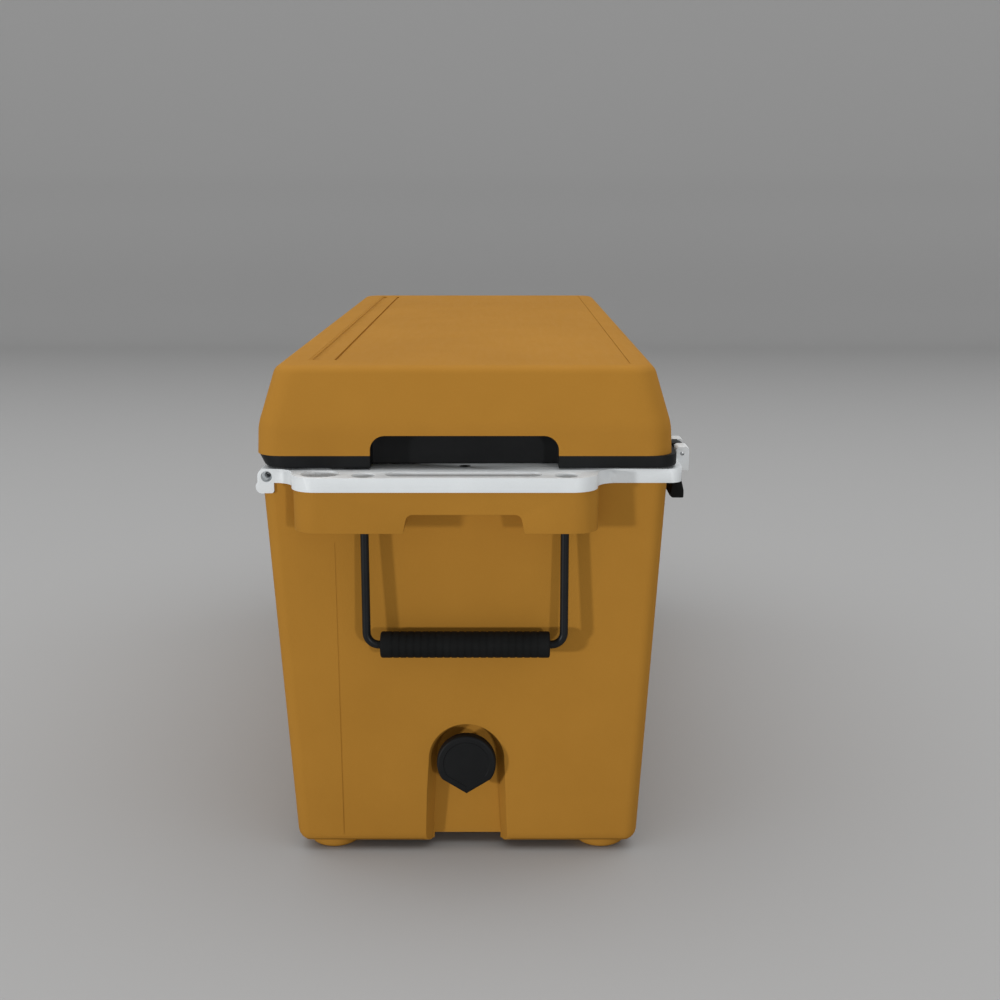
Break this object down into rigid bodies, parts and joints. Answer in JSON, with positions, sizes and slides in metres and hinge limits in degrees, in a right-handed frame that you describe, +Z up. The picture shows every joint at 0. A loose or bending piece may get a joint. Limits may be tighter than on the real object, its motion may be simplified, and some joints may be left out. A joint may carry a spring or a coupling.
{
  "type": "cooler on wheels",
  "caption": "Long insulated cooler box with a hinged lid, side latches, swinging bail handles, end tool shelves, a screw drain and wheels at one end.",
  "frame": {"origin": "on the floor, under the middle of the whole part", "axes": "+X along the length from the drain end to the wheels, -Y to the latches, +Y to the hinge, +Z up"},
  "size_m": [1.052, 0.4194, 0.5],
  "materials": {
    "amber_shell": "satin, fine moulded grain",
    "white_plastic": "satin",
    "tub_white": "smooth",
    "foam": "closed-cell foam",
    "black_plastic": "satin",
    "black_rubber": "matte",
    "tread": "matte",
    "steel": "plated",
    "black_steel": "black coated"
  },
  "bodies": {
    "cooler_body": {"outer_shell": "amber_shell", "body_foam": "foam", "inner_liner": "tub_white", "rim_frame": "white_plastic", "rim_screws": "steel", "hinge_pin": "steel", "bail_clips": "black_plastic", "bail_clip_screws": "steel", "drain_spout": "black_plastic", "drain_nut": "black_plastic", "drain_gasket": "black_rubber", "wheel_axle": "steel", "axle_washers": "steel", "axle_caps": "black_plastic"},
    "lid": {"lid_shell": "amber_shell", "lid_foam": "foam", "lid_liner": "black_plastic", "lid_gasket": "black_rubber", "lid_screws": "steel", "latch_brackets": "black_plastic", "latch_pins": "steel"},
    "near_latch": {"latch_arm_near": "white_plastic", "latch_pull_near": "black_rubber"},
    "far_latch": {"latch_arm_far": "white_plastic", "latch_pull_far": "black_rubber"},
    "near_bail": {"bail_rod_near": "black_steel"},
    "near_grip": {"bail_grip_near": "black_plastic"},
    "far_bail": {"bail_rod_far": "black_steel"},
    "far_grip": {"bail_grip_far": "black_plastic"},
    "left_wheel": {"tyre_left": "tread", "wheel_hub_left": "black_plastic", "wheel_bush_left": "white_plastic"},
    "right_wheel": {"tyre_right": "tread", "wheel_hub_right": "black_plastic", "wheel_bush_right": "white_plastic"},
    "cap_travel": {"cap_washer": "black_rubber"},
    "screw_cap": {"drain_cap": "black_plastic"}
  },
  "joints": [
    {"name": "lid_hinge", "type": "hinge", "parent": "cooler_body", "child": "lid", "pos_m": [0, 0.19875, 0.396], "axis": [-1, 0, 0], "range_deg": [0, 95]},
    {"name": "near_latch_hinge", "type": "hinge", "parent": "lid", "child": "near_latch", "pos_m": [-0.388, -0.20275, 0.407], "axis": [-1, 0, 0], "range_deg": [0, 110]},
    {"name": "far_latch_hinge", "type": "hinge", "parent": "lid", "child": "far_latch", "pos_m": [0.388, -0.20275, 0.407], "axis": [-1, 0, 0], "range_deg": [0, 110]},
    {"name": "near_bail_swing", "type": "hinge", "parent": "cooler_body", "child": "near_bail", "pos_m": [-0.492, 0.01075, 0.358], "axis": [0, 1, 0], "range_deg": [0, 65]},
    {"name": "far_bail_swing", "type": "hinge", "parent": "cooler_body", "child": "far_bail", "pos_m": [0.492, 0.01075, 0.358], "axis": [0, -1, 0], "range_deg": [0, 65]},
    {"name": "near_grip_turn", "type": "hinge", "parent": "near_bail", "child": "near_grip", "pos_m": [-0.492, 0.01075, 0.233], "axis": [0, 1, 0], "continuous": true},
    {"name": "far_grip_turn", "type": "hinge", "parent": "far_bail", "child": "far_grip", "pos_m": [0.492, 0.01075, 0.233], "axis": [0, 1, 0], "continuous": true},
    {"name": "left_wheel_spin", "type": "hinge", "parent": "cooler_body", "child": "left_wheel", "pos_m": [0.42, 0.15875, 0.075], "axis": [0, 1, 0], "continuous": true},
    {"name": "right_wheel_spin", "type": "hinge", "parent": "cooler_body", "child": "right_wheel", "pos_m": [0.42, -0.13725, 0.075], "axis": [0, 1, 0], "continuous": true},
    {"name": "cap_travel_slide", "type": "slide", "parent": "cooler_body", "child": "cap_travel", "axis": [-1, 0, 0], "range_m": [0, 0.012]},
    {"name": "cap_turn", "type": "hinge", "parent": "cap_travel", "child": "screw_cap", "pos_m": [-0.44522, 0.01075, 0.103], "axis": [-1, 0, 0], "range_deg": [0, 1080]}
  ],
  "couplings": [
    {"joint": "cap_travel_slide", "follows": "cap_turn", "m_per_rad": 0.00063662}
  ]
}
